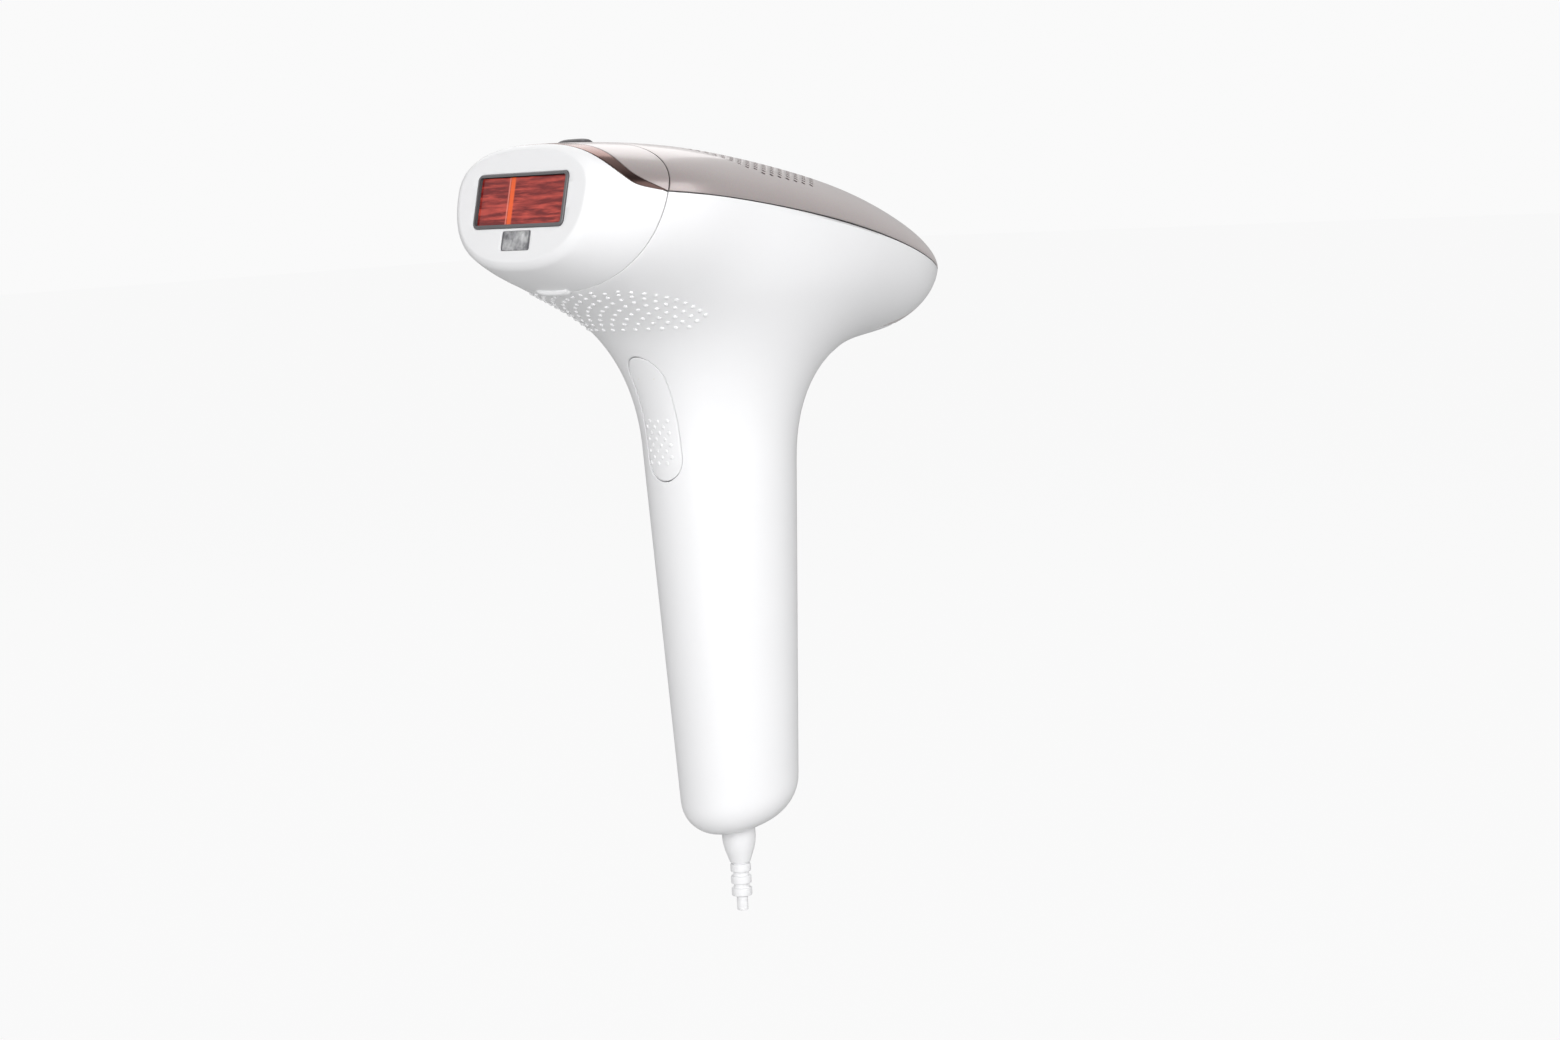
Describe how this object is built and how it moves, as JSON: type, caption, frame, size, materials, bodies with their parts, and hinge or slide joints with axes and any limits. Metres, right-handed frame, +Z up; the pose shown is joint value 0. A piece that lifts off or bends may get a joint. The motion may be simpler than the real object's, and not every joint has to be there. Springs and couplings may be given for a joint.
{
  "type": "light pulse hair remover",
  "caption": "T-shaped handheld light-pulse hair remover with a lift-off window attachment, a handle trigger, a rear control panel and a plug-in power cord stub.",
  "frame": {"origin": "centre of the light window on the contact face", "axes": "+X rearwards from the contact face to the tail, +Y across the handset, +Z up along the handle"},
  "size_m": [0.145, 0.0768, 0.2082],
  "materials": {
    "white_shell": "satin white moulded shell",
    "pearl_cover": "pearl taupe lacquer",
    "bronze_trim": "rose bronze plated band",
    "frame_grey": "smoked grey rim",
    "amber_filter": "orange red optical filter",
    "sensor_grey": "translucent grey window",
    "dark_grip": "dark grip insert",
    "mirror_metal": "polished reflector",
    "inner_plastic": "grey moulded inner part",
    "ivory_plastic": "ivory moulded inner part",
    "dark_plastic": "black moulded inner part",
    "fan_plastic": "black fan wheel",
    "gold_contact": "gold plated contact",
    "clear_glass": "clear glass",
    "steel": "plain steel",
    "board_green": "green circuit board",
    "capacitor_sleeve": "shrink sleeve",
    "ferrite": "ferrite",
    "copper_wire": "enamelled copper wire",
    "coil_resin": "resin potted coil",
    "cord_white": "soft white sleeve",
    "button_silver": "silver lacquered button",
    "light_pipe": "pale green light guide"
  },
  "bodies": {
    "handset": {"main_shell": "white_shell", "rear_shell": "white_shell", "top_cover": "pearl_cover", "control_panel": "pearl_cover", "front_carrier": "inner_plastic", "uv_filter": "clear_glass", "lamp_reflector": "mirror_metal", "flash_lamp": "clear_glass", "lamp_caps": "gold_contact", "lamp_holders": "ivory_plastic", "contact_block": "dark_plastic", "contact_pins": "gold_contact", "skin_sensor": "dark_plastic", "fan_frame": "dark_plastic", "air_duct": "inner_plastic", "inner_frame": "inner_plastic", "trigger_pin": "steel", "trigger_spring": "steel", "trigger_switch": "dark_plastic", "main_board": "board_green", "board_screws": "steel", "flash_capacitor": "capacitor_sleeve", "capacitor_clip": "inner_plastic", "transformer_core": "ferrite", "transformer_winding": "copper_wire", "trigger_coil": "coil_resin", "power_socket": "dark_plastic", "socket_pin": "gold_contact", "control_board": "board_green", "level_lights": "light_pipe"},
    "attachment": {"attachment_shell": "white_shell", "attachment_cover": "pearl_cover", "attachment_trim": "bronze_trim", "window_frame": "frame_grey", "window_filter": "amber_filter", "tunnel_reflector": "mirror_metal", "sensor_window": "sensor_grey", "attachment_base": "inner_plastic", "attachment_contacts": "gold_contact", "top_tab": "dark_grip", "bottom_tab": "white_shell"},
    "trigger": {"trigger_button": "white_shell", "trigger_lever": "ivory_plastic"},
    "switch": {"switch_plunger": "ivory_plastic"},
    "power_key": {"power_button": "button_silver"},
    "fan": {"fan_impeller": "fan_plastic"},
    "plug": {"plug_body": "cord_white", "plug_barrel": "steel", "cord": "cord_white"}
  },
  "joints": [
    {"name": "attachment_lift", "type": "slide", "parent": "handset", "child": "attachment", "axis": [-0.9677, 0, 0.2521], "range_m": [0, 0.034]},
    {"name": "trigger_hinge", "type": "hinge", "parent": "handset", "child": "trigger", "pos_m": [0.0466, 0, -0.046], "axis": [0, -1, 0], "range_deg": [0, 3.5], "deforming": ["trigger_spring"]},
    {"name": "switch_slide", "type": "slide", "parent": "handset", "child": "switch", "axis": [1, 0, 0], "range_m": [0, 0.0008]},
    {"name": "power_press", "type": "slide", "parent": "handset", "child": "power_key", "axis": [-0.7355, 0, 0.6776], "range_m": [0, 0.0006]},
    {"name": "fan_spin", "type": "hinge", "parent": "handset", "child": "fan", "pos_m": [0.06387, 0, -0.00475], "axis": [0.2521, 0, 0.9677], "continuous": true},
    {"name": "plug_pull", "type": "slide", "parent": "handset", "child": "plug", "axis": [0, 0, -1], "range_m": [0, 0.016]}
  ],
  "couplings": [
    {"joint": "switch_slide", "follows": "trigger_hinge", "m_per_rad": 0.012}
  ]
}
